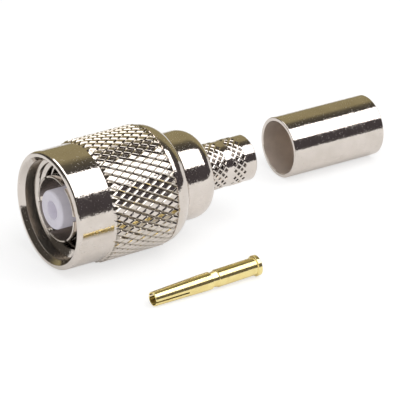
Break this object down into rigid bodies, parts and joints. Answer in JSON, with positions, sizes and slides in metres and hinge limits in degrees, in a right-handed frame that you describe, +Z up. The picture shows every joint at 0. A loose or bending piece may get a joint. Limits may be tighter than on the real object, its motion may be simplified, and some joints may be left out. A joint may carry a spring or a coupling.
{
  "type": "reverse polarity tnc plug",
  "caption": "Crimp coaxial plug with a knurled threaded coupling nut, slotted outer contact and white dielectric, with its loose crimp ferrule and loose gold socket contact.",
  "frame": {"origin": "on the plug's axis, in the plane of the outer contact's tips, inside the bore that takes the socket contact", "axes": "+X along the plug's axis from the mating end to the cable end, +Z up from the surface that the nut, the ferrule and the contact lie on"},
  "size_m": [0.0509, 0.0265, 0.0148],
  "materials": {
    "nickel_plate": "bright nickel plate over brass",
    "gold_plate": "polished gold plate",
    "white_dielectric": "smooth white fluoropolymer",
    "silicone": "matt silicone",
    "spring_bronze": "plain spring bronze"
  },
  "bodies": {
    "plug": {"connector_body": "nickel_plate", "retaining_ring": "spring_bronze", "outer_contact": "nickel_plate", "sealing_gasket": "silicone", "dielectric_insert": "white_dielectric", "socket_contact": "gold_plate", "crimp_ferrule": "nickel_plate"},
    "nut": {"coupling_nut": "nickel_plate"}
  },
  "joints": [
    {"name": "nut_spin", "type": "hinge", "parent": "plug", "child": "nut", "pos_m": [0, 0, 0], "axis": [1, 0, 0], "continuous": true}
  ]
}
